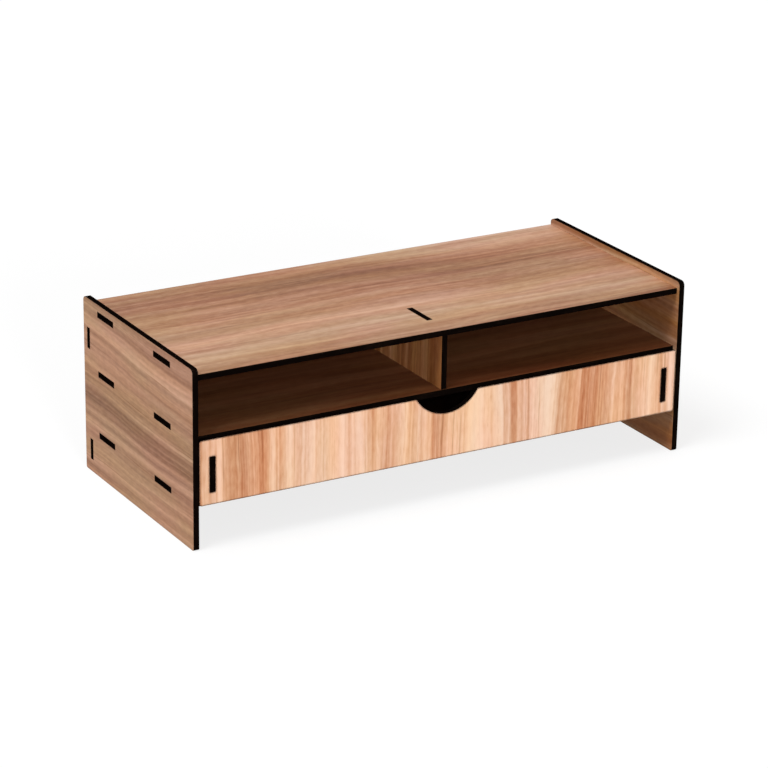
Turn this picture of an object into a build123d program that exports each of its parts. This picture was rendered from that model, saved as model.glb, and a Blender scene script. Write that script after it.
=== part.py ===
"""Monitor stand: two open compartments over a drawer, cut from flat boards that lock with tabs through slots.

+X runs along the stand, -Y faces the user and +Z is up. The origin is on the floor, under the stand's middle.
Each board is drawn as the outline that is cut from the sheet, and takes its thickness from an extrude.
"""

import os

from build123d import *
from build123d.topology import SkipClean

# Driving dimensions, in millimetres
board = 5.0  # thickness of the sheet that every piece is cut from
play = 0.1  # gap all round a tab in its slot
running_gap = 0.3  # between the drawer and the boards that it slides past

width = 460.0  # over both side panels
depth = 200.0  # of a side panel
height = 152.0  # of a side panel
panel_top_corner = 4.0  # radius of a side panel's upper corners
panel_foot_corner = 2.0  # radius of a side panel's lower corners

lip = 6.0  # side panels above the top board's upper face
shelf_top = 94.0  # upper face of the middle shelf, above the floor
base_top = 40.0  # upper face of the bottom board, above the floor
top_setback = 3.5  # top board's front edge behind the side panels' front edges
board_tab = 30.0  # tabs that the three level boards pass through the side panels
front_tab_place = 54.0  # side panels' front edges to the middle of the front tabs
rear_tab_place = 158.0  # side panels' front edges to the middle of the rear tabs

back_tab = 18.0  # upright tabs of the back panel, the rear stretcher and the divider's back edge
back_inset = 6.5  # back panel in from the side panels' back edges
stretcher_inset = 9.0  # rear stretcher in from the side panels' back edges
stretcher_height = 30.0

divider_setback = 6.0  # divider's front edge behind the side panels' front edges
divider_tab = 33.0  # divider's tabs through the top board and the shelf
divider_top_tab_place = 46.5  # side panels' front edges to the middle of the top tab
divider_low_tab_place = 140.0  # side panels' front edges to the middle of the lower tab

front_side_gap = 0.5  # drawer front to each side panel
front_bottom = 37.0  # lower edge of the drawer front, above the floor
front_top = 92.0  # upper edge of the drawer front, above the floor
front_corner = 2.0  # radius of the drawer front's corners
scoop_radius = 33.5  # finger notch
scoop_bottom = 75.5  # lowest point of the finger notch, above the floor
scoop_ease = 1.0  # radius where the finger notch meets the upper edge

drawer_side_inset = 14.5  # stand's outer faces to the drawer sides' outer faces
drawer_depth = 185.0  # of a drawer side, behind the drawer front
drawer_height = 44.0  # of a drawer side
drawer_tab = 30.0  # tabs of the drawer's boards
drawer_bottom_lift = 3.0  # drawer bottom above the drawer sides' lower edges
drawer_back_inset = 4.0  # drawer back in from the drawer sides' rear ends
drawer_side_corner = 2.0  # radius of a drawer side's free corners
drawer_bottom_tab_spread = 100.0  # between the middles of the drawer bottom's two tabs on one side
drawer_back_foot_spread = 240.0  # between the middles of the drawer back's two lower tabs

# Places that follow from them
front = -depth / 2
inner_width = width - 2 * board
top_z = height - lip - board / 2
shelf_z = shelf_top - board / 2
base_z = base_top - board / 2
front_tab_y = front + front_tab_place
rear_tab_y = front + rear_tab_place
edge_setback = board + running_gap

upper_bay_height = height - lip - board - shelf_top
upper_bay_z = shelf_top + upper_bay_height / 2
back_y = depth / 2 - back_inset - board / 2
stretcher_y = depth / 2 - stretcher_inset - board / 2
stretcher_z = base_top - board - stretcher_height / 2

divider_front_y = front + divider_setback
divider_length = back_y - board / 2 - divider_front_y
divider_y = divider_front_y + divider_length / 2
divider_top_tab_y = front + divider_top_tab_place
divider_low_tab_y = front + divider_low_tab_place

drawer_side_x = width / 2 - drawer_side_inset - board / 2
drawer_inner_width = 2 * drawer_side_x - board
drawer_front_y = front + board
drawer_side_bottom = base_top + running_gap
drawer_side_z = drawer_side_bottom + drawer_height / 2
drawer_rear_y = drawer_front_y + drawer_depth
drawer_back_y = drawer_rear_y - drawer_back_inset - board / 2
drawer_bottom_z = drawer_side_bottom + drawer_bottom_lift + board / 2
drawer_bottom_length = drawer_back_y + board / 2 - drawer_front_y
drawer_bottom_y = drawer_front_y + drawer_bottom_length / 2
drawer_back_height = drawer_side_bottom + drawer_height - drawer_bottom_z - board / 2
drawer_back_z = drawer_bottom_z + board / 2 + drawer_back_height / 2


def cut_slots(places, along, across):
    """Cuts the slots for tabs of along by across, with play all round, out of the open sketch."""
    with Locations(*places):
        Rectangle(along + 2 * play, across + 2 * play, mode=Mode.SUBTRACT)


def add_tabs(places, along, across):
    """Adds tabs of along by across to the open sketch. Each place is the middle of a tab."""
    with Locations(*places):
        Rectangle(along, across)


def side_tab_places(reach, levels):
    """The middles of tabs that stand out by the board's thickness from both ends of a board."""
    return [(side * (reach / 2 + board / 2), level) for side in (-1, 1) for level in levels]


def save(piece, name):
    """Labels a finished piece and writes its file."""
    piece.part.label = name
    export_step(piece.part, f"parts/{name}.step")


os.makedirs("parts", exist_ok=True)

# Side panels: one outline, cut twice
for side_name, inner_edge in (("left", -width / 2), ("right", width / 2 - board)):
    with BuildPart() as side_panel:
        with BuildSketch(Plane.YZ.offset(inner_edge)) as panel_outline:
            with Locations((0, height / 2)):
                Rectangle(depth, height)
            fillet(panel_outline.vertices().group_by(Axis.Y)[-1], radius=panel_top_corner)
            fillet(panel_outline.vertices().group_by(Axis.Y)[0], radius=panel_foot_corner)
            for level in (top_z, shelf_z, base_z):
                cut_slots([(front_tab_y, level), (rear_tab_y, level)], board_tab, board)
            cut_slots([(back_y, upper_bay_z), (stretcher_y, stretcher_z)], board, back_tab)
        extrude(amount=board)
    save(side_panel, f"{side_name}_side_panel")

# Level boards: front edge, middle height, and where the divider's tab comes through
level_boards = {
    "top_board": (top_setback, top_z, divider_top_tab_y),
    "middle_shelf": (edge_setback, shelf_z, divider_low_tab_y),
    "bottom_board": (edge_setback, base_z, None),
}
for board_name, (setback, middle_z, divider_slot_y) in level_boards.items():
    with BuildPart() as level_board:
        with BuildSketch(Plane.XY.offset(middle_z - board / 2)):
            with Locations((0, setback / 2)):
                Rectangle(inner_width, depth - setback)
            if divider_slot_y is not None:
                cut_slots([(0, divider_slot_y)], board, divider_tab)
        extrude(amount=board)
        with BuildSketch(Plane.XY.offset(middle_z - board / 2)):
            add_tabs(side_tab_places(inner_width, (front_tab_y, rear_tab_y)), board, board_tab)
        # The seam at the tabs' roots stays, so that the part to stand things on is a face of its own
        with SkipClean():
            extrude(amount=board, clean=False)
    save(level_board, board_name)

# Centre divider, with a tab up, a tab down and a tab through the back panel
with BuildPart() as centre_divider:
    with BuildSketch(Plane.YZ.offset(-board / 2)):
        with Locations((divider_y, upper_bay_z)):
            Rectangle(divider_length, upper_bay_height)
        add_tabs([(divider_top_tab_y, top_z), (divider_low_tab_y, shelf_z)], divider_tab, board)
        add_tabs([(back_y, upper_bay_z)], board, back_tab)
    extrude(amount=board)
save(centre_divider, "centre_divider")

# Upper back panel, which closes both compartments
with BuildPart() as upper_back_panel:
    with BuildSketch(Plane.XZ.offset(-back_y - board / 2)):
        with Locations((0, upper_bay_z)):
            Rectangle(inner_width, upper_bay_height)
        add_tabs(side_tab_places(inner_width, (upper_bay_z,)), board, back_tab)
        cut_slots([(0, upper_bay_z)], board, back_tab)
    extrude(amount=board)
save(upper_back_panel, "upper_back_panel")

# Rear stretcher, which keeps the side panels square under the bottom board
with BuildPart() as rear_stretcher:
    with BuildSketch(Plane.XZ.offset(-stretcher_y - board / 2)):
        with Locations((0, stretcher_z)):
            Rectangle(inner_width, stretcher_height)
        add_tabs(side_tab_places(inner_width, (stretcher_z,)), board, back_tab)
    extrude(amount=board)
save(rear_stretcher, "rear_stretcher")

# Drawer front, with rounded corners and the scooped finger notch
with BuildPart() as drawer_front:
    with BuildSketch(Plane.XZ.offset(-drawer_front_y)) as front_outline:
        with Locations((0, (front_bottom + front_top) / 2)):
            RectangleRounded(inner_width - 2 * front_side_gap, front_top - front_bottom, front_corner)
        with Locations((0, scoop_bottom + scoop_radius)):
            Circle(scoop_radius, mode=Mode.SUBTRACT)
        shoulders = front_outline.vertices().group_by(Axis.Y)[-1].sort_by(Axis.X)[1:-1]
        fillet(shoulders, radius=scoop_ease)
        cut_slots([(-drawer_side_x, drawer_side_z), (drawer_side_x, drawer_side_z)], board, drawer_tab)
    extrude(amount=board)
save(drawer_front, "drawer_front")

# Drawer sides: one outline, cut twice
bottom_tab_ys = [drawer_bottom_y + step * drawer_bottom_tab_spread / 2 for step in (-1, 1)]
for side_name, middle_x in (("left", -drawer_side_x), ("right", drawer_side_x)):
    with BuildPart() as drawer_side:
        with BuildSketch(Plane.YZ.offset(middle_x - board / 2)) as side_outline:
            with Locations((drawer_front_y + drawer_depth / 2, drawer_side_z)):
                Rectangle(drawer_depth, drawer_height)
            fillet(side_outline.vertices().group_by(Axis.X)[-1], radius=drawer_side_corner)
            add_tabs([(drawer_front_y - board / 2, drawer_side_z)], board, drawer_tab)
            cut_slots([(y, drawer_bottom_z) for y in bottom_tab_ys], drawer_tab, board)
            cut_slots([(drawer_back_y, drawer_back_z)], board, back_tab)
        extrude(amount=board)
    save(drawer_side, f"drawer_{side_name}_side")

# Drawer bottom, with tabs through the drawer sides and slots for the back's feet
foot_xs = [step * drawer_back_foot_spread / 2 for step in (-1, 1)]
with BuildPart() as drawer_bottom:
    with BuildSketch(Plane.XY.offset(drawer_bottom_z - board / 2)):
        with Locations((0, drawer_bottom_y)):
            Rectangle(drawer_inner_width, drawer_bottom_length)
        add_tabs(side_tab_places(drawer_inner_width, bottom_tab_ys), board, drawer_tab)
        cut_slots([(x, drawer_back_y) for x in foot_xs], drawer_tab, board)
    extrude(amount=board)
save(drawer_bottom, "drawer_bottom")

# Drawer back, which stands on the drawer bottom with two feet through it
with BuildPart() as drawer_back:
    with BuildSketch(Plane.XZ.offset(-drawer_back_y - board / 2)):
        with Locations((0, drawer_back_z)):
            Rectangle(drawer_inner_width, drawer_back_height)
        add_tabs(side_tab_places(drawer_inner_width, (drawer_back_z,)), board, back_tab)
        add_tabs([(x, drawer_bottom_z) for x in foot_xs], drawer_tab, board)
    extrude(amount=board)
save(drawer_back, "drawer_back")
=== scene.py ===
"""Looks for the monitor stand: printed wood laminate with laser-burnt edges, in a plain pale studio.

Every board keeps its CAD mesh and gets a laminate of its own, with its grain as the photograph shows it.
"""

import math

import bpy
from mathutils import Matrix, Vector

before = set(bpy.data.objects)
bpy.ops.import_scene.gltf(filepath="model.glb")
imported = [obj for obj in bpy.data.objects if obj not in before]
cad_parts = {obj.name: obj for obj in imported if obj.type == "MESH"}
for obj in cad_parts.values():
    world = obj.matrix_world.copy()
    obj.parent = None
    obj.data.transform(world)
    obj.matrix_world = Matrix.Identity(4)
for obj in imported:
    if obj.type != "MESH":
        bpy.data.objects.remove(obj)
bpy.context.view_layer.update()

X, Y, Z = 0, 1, 2
MILLIMETRES = 1000.0  # in one metre

# Colours are linear, as the shader takes them
WHITE = (1.0, 1.0, 1.0)
BURNT = (0.0030, 0.0018, 0.0014)
BURNT_BROWN = (0.0085, 0.0045, 0.0030)
SCORCHED = (0.022, 0.010, 0.006)

# Factors on the wood's colour, between which its hue drifts
OLIVE = (0.98, 1.035, 0.99)
PINK = (1.02, 0.965, 1.01)

# Scorch beside a cut: its reach in metres, and how much of it shows
THIN_SCORCH = (0.0010, 0.50)
WIDE_SCORCH = (0.0026, 0.95)

WALNUT = {
    "middle": (0.397, 0.193, 0.104),  # colour of the middle tone
    "depth": (1.97, 3.00, 3.95),  # how fast red, green and blue change with the tone
    "hold": 0.90,  # how much strong tones are pulled down, which keeps light streaks calm
    "warm": (1.03, 1.00, 0.90),  # factors on the colour, between which the hue drifts
    "cool": (0.97, 1.00, 1.04),
    "tint": 1.0,  # how much of the drift between olive and pink shows
    "line": 0.80,  # the share of light that a growth line leaves
    "scorch": THIN_SCORCH,
}
SIDE_WALNUT = {
    "middle": (0.459, 0.239, 0.134),
    "depth": (1.75, 2.20, 2.55),
    "hold": 0.60,
    "warm": (1.02, 1.00, 0.94),
    "cool": (0.98, 1.00, 1.05),
    "tint": 1.0,
    "line": 0.70,
    "scorch": THIN_SCORCH,
}
# Painted shade: the walnut made redder and less blue for the divider, whose faces are only seen inside the
# shaded compartments, so that it shows the deep brown that shade gives there
SHADE_WARMED_WALNUT = {
    "middle": (0.465, 0.196, 0.073),
    "depth": (1.60, 2.50, 3.40),
    "hold": 0.40,
    "warm": (1.06, 0.99, 0.82),
    "cool": (1.00, 0.99, 0.98),
    "tint": 1.0,
    "line": 0.70,
    "scorch": THIN_SCORCH,
}
# Painted shade: the walnut made deeper and redder for the right panel, whose inner face lies in shade, so
# that it shows the brown that shade gives there; its strong drift between warm and cool is part of that
# fit
SHADE_TINTED_WALNUT = {
    "middle": (0.445, 0.212, 0.091),
    "depth": (1.60, 2.35, 3.20),
    "hold": 0.40,
    "warm": (1.07, 0.92, 0.61),
    "cool": (0.95, 1.10, 1.48),
    "tint": 1.0,
    "line": 0.58,
    "scorch": THIN_SCORCH,
}
LIGHT_WOOD = {
    "middle": (0.776, 0.452, 0.283),
    "depth": (0.87, 1.65, 2.34),
    "hold": 1.10,
    "warm": (1.03, 0.96, 0.86),
    "cool": (0.99, 1.02, 1.08),
    "tint": 0.5,
    "line": 0.70,
    "scorch": WIDE_SCORCH,
}
# A darker laminate for the shelf, bottom board, back panel and drawer bottom, made darker and redder still
# with painted shade: the deep, even brown that shade gives inside the compartments
PAINTED_SHADE_WOOD = {
    "middle": (0.143, 0.0485, 0.0170),
    "depth": (1.80, 2.80, 3.60),
    "hold": 0.40,
    "warm": (1.04, 1.00, 0.94),
    "cool": (0.96, 1.00, 1.04),
    "tint": 1.0,
    "line": 0.80,
    "scorch": THIN_SCORCH,
}

# Layers that make up a print's tone: length along the grain and width across it in millimetres,
# octaves of detail, and how much the layer shows
CALM = {
    "broad": (700, 60, 1.0, 1.08),
    "band": (190, 8.0, 2.0, 0.57),
    "streak": (60, 2.6, 2.0, 0.18),
    "mottle": (8.0, 3.2, 2.0, 0.26),
    "fibre": (20, 0.7, 2.0, 0.11),
}
BANDED = {
    "broad": (1300, 24, 1.0, 0.68),
    "band": (560, 7.0, 2.0, 0.88),
    "streak": (210, 2.2, 2.0, 0.23),
    "mottle": (8.0, 3.0, 2.0, 0.27),
    "fibre": (22, 0.6, 2.0, 0.12),
}
STRIPED = {
    "broad": (900, 30, 1.0, 1.00),
    "band": (900, 9.5, 2.0, 1.05),
    "streak": (520, 3.2, 2.0, 0.54),
    "mottle": (10.0, 2.6, 2.0, 0.32),
    "fibre": (70, 0.7, 2.0, 0.22),
}

# Board: palette, layers, axis along the grain, axis across it, and which cut of the endless pattern it is
BOARDS = {
    "top_board": (WALNUT, CALM, X, Y, 1065.5),
    "left_side_panel": (SIDE_WALNUT, BANDED, Y, Z, 1013.5),
    "right_side_panel": (SHADE_TINTED_WALNUT, BANDED, Y, Z, 206.5),
    "centre_divider": (SHADE_WARMED_WALNUT, STRIPED, Z, Y, 41.0),
    "rear_stretcher": (SIDE_WALNUT, BANDED, X, Z, 53.0),
    "middle_shelf": (PAINTED_SHADE_WOOD, CALM, X, Y, 61.0),
    "bottom_board": (PAINTED_SHADE_WOOD, CALM, X, Y, 67.0),
    "upper_back_panel": (PAINTED_SHADE_WOOD, BANDED, X, Z, 71.0),
    "drawer_front": (LIGHT_WOOD, STRIPED, Z, X, 423.75),
    "drawer_left_side": (SIDE_WALNUT, BANDED, Y, Z, 97.0),
    "drawer_right_side": (SIDE_WALNUT, BANDED, Y, Z, 101.0),
    "drawer_back": (SIDE_WALNUT, BANDED, X, Z, 107.0),
    "drawer_bottom": (PAINTED_SHADE_WOOD, CALM, X, Y, 113.0),
}
CUT_ALONG = 71.0  # from one cut of the pattern to the next, along and across the grain, in millimetres
CUT_ACROSS = 43.0
LEAF = 2.5  # thickness of the pattern in millimetres, so that the two faces of a board differ

# Patterns that every board has: sizes along the grain, across it and through the board in millimetres,
# octaves of detail, and a shift that takes the pattern from another part of the noise
SWAY = {"sizes": (210, 75, LEAF), "detail": 1.0}
RIPPLE = {"sizes": (46, 16, LEAF), "detail": 1.0}
WARMTH = {"sizes": (170, 20, LEAF), "detail": 2.0, "shift": 9.0}
TINT = {"sizes": (110, 28, LEAF), "detail": 2.0, "shift": 13.0}
GROWTH_LINE = {"sizes": (190, 1.7, LEAF), "detail": 1.0, "shift": 17.0}
LINED_PATCH = {"sizes": (120, 13, LEAF), "detail": 1.0, "shift": 23.0}
PORE = {"sizes": (6.5, 0.42, LEAF), "detail": 1.0, "shift": 31.0}
SMOKE = {"sizes": (5.0, 5.0, LEAF), "detail": 2.0}
BEAM = {"sizes": (0.55, 0.55, 14), "detail": 2.0, "roughness": 0.6}
CHAR = {"sizes": (17, 17, 3), "detail": 3.0, "roughness": 0.6}

# Values between which a pattern goes from none to full
WARMTH_STEP = (-0.22, 0.22)
TINT_STEP = (-0.16, 0.16)
LINE_STEP = (0.07, 0.20)
PATCH_STEP = (-0.02, 0.16)
PORE_STEP = (0.15, 0.27)
SCORCH_STEP = (0.99, 0.86)  # of how squarely the softened surface faces out of the board
CHAR_STEP = (-0.05, 0.30)

SWAY_REACH = 18.0  # how far the grain sways and ripples sideways, in millimetres
RIPPLE_REACH = 2.2
PORE_SHADE = 0.14  # share of light that a pore takes
GREEN_SHADE = 1.4  # powers that make lines and pores deeper in green and blue than in red
BLUE_SHADE = 1.8
SMOKE_SHARE = 0.06  # how much the scorch's edge wavers
BEAM_CHAR = 0.5  # how much the beam's marks show in the char
CUT_FACING = 0.7  # a face that looks out of the board less squarely than this is a cut

# Roughness of the print and the cuts, and what fibres, pores and the beam's marks add to it
PRINT_ROUGHNESS = 0.54
FIBRE_ROUGHNESS = 0.30
PORE_ROUGHNESS = 0.10
CUT_ROUGHNESS = 0.88
BEAM_ROUGHNESS = 0.20
PRINT_SPECULAR = 0.20  # the burnt cuts have none

# Relief of the same marks, for the bump
FIBRE_RELIEF = 0.05
PORE_RELIEF = 0.03
BEAM_RELIEF = 0.22
BUMP_STRENGTH = 0.6
BUMP_DISTANCE = 0.001  # metres

FLOOR_WHITE = 1.02  # brightness that the camera sees on the lit floor
NOISE_MIDDLE = 0.5  # of Blender's noise texture
NODE_COLUMN = 220  # spacing of the nodes in the editor
NODE_ROW = 260
NODES_IN_ROW = 12


class Graph:
    """Builds the nodes of a material or a world, so that a pattern reads as a formula."""

    def __init__(self, owner):
        owner.use_nodes = True
        self.tree = owner.node_tree
        self.tree.nodes.clear()

    def put(self, socket, value):
        """Links an output to the socket, or sets the socket's own value. Colours come without alpha."""
        if isinstance(value, bpy.types.NodeSocket):
            self.tree.links.new(value, socket)
        elif socket.type == "RGBA":
            socket.default_value = (*value, 1)
        else:
            socket.default_value = value

    def node(self, kind, inputs=(), **settings):
        """A new node. inputs has what goes into its sockets, in their order or by their names."""
        made = self.tree.nodes.new(kind)
        count = len(self.tree.nodes)
        made.location = (NODE_COLUMN * (count % NODES_IN_ROW), -NODE_ROW * (count // NODES_IN_ROW))
        for key, value in settings.items():
            setattr(made, key, value)
        keys = inputs if isinstance(inputs, dict) else range(len(inputs))
        for key in keys:
            self.put(made.inputs[key], inputs[key])
        return made

    def output(self, kind, inputs=(), **settings):
        """The first output of a new node."""
        return self.node(kind, inputs, **settings).outputs[0]

    def math(self, operation, *values, clamp=False):
        return self.output("ShaderNodeMath", values, operation=operation, use_clamp=clamp)

    def add(self, *terms):
        total = terms[0]
        for term in terms[1:]:
            total = self.math("ADD", total, term)
        return total

    def minus(self, a, b):
        return self.math("SUBTRACT", a, b)

    def times(self, a, b):
        return self.math("MULTIPLY", a, b)

    def vector(self, x, y, z):
        return self.output("ShaderNodeCombineXYZ", (x, y, z))

    def parts(self, vector):
        return list(self.node("ShaderNodeSeparateXYZ", (vector,)).outputs)

    def noise(self, place, sizes, detail, shift=0.0, roughness=0.5):
        """Soft noise about 0, in blobs of these sizes along the place's three axes."""
        x, y, z = (self.times(value, 1 / size) for value, size in zip(place, sizes))
        spot = self.vector(x, y, self.add(z, shift))
        inputs = {"Vector": spot, "Scale": 1.0, "Detail": detail, "Roughness": roughness}
        return self.minus(self.output("ShaderNodeTexNoise", inputs, noise_dimensions="3D"), NOISE_MIDDLE)

    def step(self, value, none, full):
        """Smooth step from 0 at none to 1 at full."""
        inputs = (value, none, full)
        return self.output("ShaderNodeMapRange", inputs, interpolation_type="SMOOTHSTEP", clamp=True)

    def toned(self, middle, depth, tone):
        """The middle colour where tone is 0, lighter above it and darker below."""
        channels = []
        for base, rate in zip(middle, depth):
            power = self.math("EXPONENT", self.times(tone, rate))
            channels.append(self.math("MULTIPLY", power, base, clamp=True))
        return self.vector(*channels)

    def mix(self, share, a, b, blend="MIX"):
        """Colour a with this share of colour b, or of its blend with b."""
        made = self.node("ShaderNodeMix", data_type="RGBA", blend_type=blend)
        sockets = {socket.identifier: socket for socket in made.inputs}
        for key, value in (("Factor_Float", share), ("A_Color", a), ("B_Color", b)):
            self.put(sockets[key], value)
        return {socket.identifier: socket for socket in made.outputs}["Result_Color"]

    def seen(self):
        """1 for what the camera sees, also in a reflection or through glass, and 0 otherwise."""
        rays = self.node("ShaderNodeLightPath").outputs
        indirect = self.math("MAXIMUM", rays["Is Glossy Ray"], rays["Is Transmission Ray"])
        return self.math("MAXIMUM", rays["Is Camera Ray"], indirect)


def wood_print(g, place, palette, layers):
    """The printed grain: its colour, its fine fibres and its pores.

    place is in millimetres: along the grain, across it and through the board.
    """
    u, v, w = place
    sway = g.times(g.noise(place, **SWAY), SWAY_REACH)
    ripple = g.times(g.noise(place, **RIPPLE), RIPPLE_REACH)
    place = (u, g.add(v, sway, ripple), w)

    layer = {}
    shown = []
    for key, (length, width, detail, share) in layers.items():
        layer[key] = g.noise(place, (length, width, LEAF), detail)
        shown.append(g.times(layer[key], share))
    tone = g.add(*shown)
    tone = g.minus(tone, g.times(g.times(tone, tone), palette["hold"]))
    colour = g.toned(palette["middle"], palette["depth"], tone)

    # The hue drifts over a few centimetres, from cool to warm and from pink to olive
    warmth = g.mix(g.step(g.noise(place, **WARMTH), *WARMTH_STEP), palette["cool"], palette["warm"])
    colour = g.mix(1.0, colour, warmth, "MULTIPLY")
    tint = g.mix(g.step(g.noise(place, **TINT), *TINT_STEP), PINK, OLIVE)
    colour = g.mix(palette["tint"], colour, tint, "MULTIPLY")

    # Thin dark growth lines in patches, and short pores
    line = g.step(g.noise(place, **GROWTH_LINE), *LINE_STEP)
    patch = g.step(g.noise(place, **LINED_PATCH), *PATCH_STEP)
    pore = g.step(g.noise(place, **PORE), *PORE_STEP)
    shade = g.minus(1.0, g.times(g.times(line, patch), 1 - palette["line"]))
    shade = g.minus(shade, g.times(pore, PORE_SHADE))
    shades = g.vector(shade, g.math("POWER", shade, GREEN_SHADE), g.math("POWER", shade, BLUE_SHADE))
    colour = g.mix(1.0, colour, shades, "MULTIPLY")
    return colour, layer["fibre"], pore


def laminate(name, palette, layers, along, across, cut_number):
    """Printed wood on both faces of a board, with burnt laser-cut edges and a scorch beside each cut."""
    material = bpy.data.materials.new(name)
    g = Graph(material)
    through = ({X, Y, Z} - {along, across}).pop()
    where = g.node("ShaderNodeTexCoord")
    metres = g.parts(where.outputs["Object"])
    u, v, w = (g.times(metres[axis], MILLIMETRES) for axis in (along, across, through))
    place = (g.add(u, cut_number * CUT_ALONG), g.add(v, cut_number * CUT_ACROSS), w)
    colour, fibre, pore = wood_print(g, place, palette, layers)

    # Scorch beside the cuts, where a softened surface turns away from the board's face
    reach, strength = palette["scorch"]
    softened = g.output("ShaderNodeBevel", {"Radius": reach}, samples=6)
    facing = g.math("ABSOLUTE", g.parts(softened)[through])
    facing = g.add(facing, g.times(g.noise(place, **SMOKE), SMOKE_SHARE))
    scorch = g.times(g.step(facing, *SCORCH_STEP), strength)
    colour = g.mix(scorch, colour, SCORCHED)

    # The cut itself, burnt nearly black, with the beam's marks running through the board's thickness
    facing = g.math("ABSOLUTE", g.parts(where.outputs["Normal"])[through])
    cut = g.math("LESS_THAN", facing, CUT_FACING)
    printed = g.minus(1.0, cut)
    beam = g.noise(place, **BEAM)
    char = g.add(g.noise(place, **CHAR), g.times(beam, BEAM_CHAR))
    colour = g.mix(cut, colour, g.mix(g.step(char, *CHAR_STEP), BURNT, BURNT_BROWN))

    print_roughness = g.add(PRINT_ROUGHNESS, g.times(fibre, FIBRE_ROUGHNESS))
    print_roughness = g.add(print_roughness, g.times(pore, PORE_ROUGHNESS))
    cut_roughness = g.add(CUT_ROUGHNESS, g.times(beam, BEAM_ROUGHNESS))
    roughness = g.add(g.times(print_roughness, printed), g.times(cut_roughness, cut))

    relief = g.minus(g.times(fibre, FIBRE_RELIEF), g.times(pore, PORE_RELIEF))
    height = g.add(g.times(relief, printed), g.times(beam, g.times(cut, BEAM_RELIEF)))
    bump = {"Strength": BUMP_STRENGTH, "Distance": BUMP_DISTANCE, "Height": height}

    surface = g.output("ShaderNodeBsdfPrincipled", {
        "Base Color": colour,
        "Roughness": roughness,
        "Specular IOR Level": g.times(PRINT_SPECULAR, printed),
        "Normal": g.output("ShaderNodeBump", bump),
    })
    g.node("ShaderNodeOutputMaterial", {"Surface": surface})
    return material


def studio_white(name, bounce, shadow):
    """A floor that shows white to the camera where it is lit, keeps the shadow, and is clear from below.

    bounce is its grey for the light that it sends on, and shadow is how much of its white comes from the
    lamps, which the object's shadow takes away.
    """
    material = bpy.data.materials.new(name)
    g = Graph(material)
    matt = g.output("ShaderNodeBsdfDiffuse", {"Color": (bounce,) * 3})
    paler = g.output("ShaderNodeBsdfDiffuse", {"Color": (shadow,) * 3})
    glow = g.output("ShaderNodeEmission", {"Color": WHITE, "Strength": FLOOR_WHITE - shadow})
    shown = g.output("ShaderNodeAddShader", (paler, glow))
    surface = g.output("ShaderNodeMixShader", (g.seen(), matt, shown))
    from_below = g.node("ShaderNodeNewGeometry").outputs["Backfacing"]
    clear = g.output("ShaderNodeBsdfTransparent")
    two_sided = g.output("ShaderNodeMixShader", (from_below, surface, clear))
    g.node("ShaderNodeOutputMaterial", {"Surface": two_sided})
    return material


def add_floor(half, drop):
    """A square floor that reaches half to each side of its middle and lies drop below the stand."""
    mesh = bpy.data.meshes.new("floor")
    corners = [(-half, -half), (half, -half), (half, half), (-half, half)]
    mesh.from_pydata([(x, y, -drop) for x, y in corners], [], [(0, 1, 2, 3)])
    mesh.materials.append(studio_white("floor", bounce=0.36, shadow=0.24))
    floor = bpy.data.objects.new("floor", mesh)
    bpy.context.collection.objects.link(floor)


def add_world(strength):
    """A white surround: full strength to the eye, and a plain level of light on the object."""
    world = bpy.data.worlds.new("studio")
    g = Graph(world)
    lit = g.output("ShaderNodeBackground", {"Color": WHITE, "Strength": strength})
    shown = g.output("ShaderNodeBackground", {"Color": WHITE, "Strength": 1.0})
    surround = g.output("ShaderNodeMixShader", (g.seen(), lit, shown))
    g.node("ShaderNodeOutputWorld", {"Surface": surround})
    bpy.context.scene.world = world


def add_lamp(name, azimuth, elevation, spread, level):
    """Far, soft light that falls evenly. Angles are in degrees, with azimuth 0 in front and 90 at +X.

    level is the light on a surface that faces the lamp, with 1 showing a colour as it is written.
    """
    azimuth, elevation = math.radians(azimuth), math.radians(elevation)
    ahead = math.cos(elevation)
    towards = Vector((math.sin(azimuth) * ahead, -math.cos(azimuth) * ahead, math.sin(elevation)))
    lamp = bpy.data.lights.new(name, "SUN")
    lamp.angle = math.radians(spread)
    lamp.energy = level * math.pi
    made = bpy.data.objects.new(name, lamp)
    made.rotation_mode = "QUATERNION"
    made.rotation_quaternion = towards.to_track_quat("Z", "Y")
    made.location = towards
    bpy.context.collection.objects.link(made)


def add_camera(place, yaw, pitch, roll, lens):
    """The photograph's camera, with place in metres, angles in degrees and lens in millimetres.

    yaw turns it to the right of +Y, pitch tips it down, and roll leans it to the left, so that the picture
    turns clockwise.
    """
    yaw, pitch, roll = (math.radians(angle) for angle in (yaw, pitch, roll))
    right = Vector((math.cos(yaw), -math.sin(yaw), 0))
    forward = Vector((math.sin(yaw), math.cos(yaw), 0)) * math.cos(pitch) - Vector((0, 0, math.sin(pitch)))
    up = right.cross(forward)
    rolled_right = right * math.cos(roll) + up * math.sin(roll)
    rolled_up = up * math.cos(roll) - right * math.sin(roll)
    turn = Matrix((rolled_right, rolled_up, -forward)).transposed().to_4x4()
    data = bpy.data.cameras.new("camera")
    data.lens = lens
    data.sensor_fit = "HORIZONTAL"
    data.sensor_width = 36.0
    data.clip_start = 0.05
    data.clip_end = 60.0
    camera = bpy.data.objects.new("camera", data)
    camera.matrix_world = Matrix.Translation(place) @ turn
    bpy.context.collection.objects.link(camera)
    bpy.context.scene.camera = camera


for node_name, looks in BOARDS.items():
    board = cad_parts[node_name]
    board.data.materials.clear()
    board.data.materials.append(laminate(node_name + "_laminate", *looks))

add_floor(half=14.0, drop=0.0002)
add_world(strength=0.38)
add_lamp("key", azimuth=-80, elevation=58, spread=30, level=0.59)
add_lamp("fill", azimuth=-10, elevation=12, spread=14, level=0.60)
add_camera(place=(-1.2442, -2.1474, 1.0020), yaw=30.0571, pitch=20.6418, roll=0.8463, lens=148.3)

bpy.context.scene.view_settings.view_transform = "Standard"
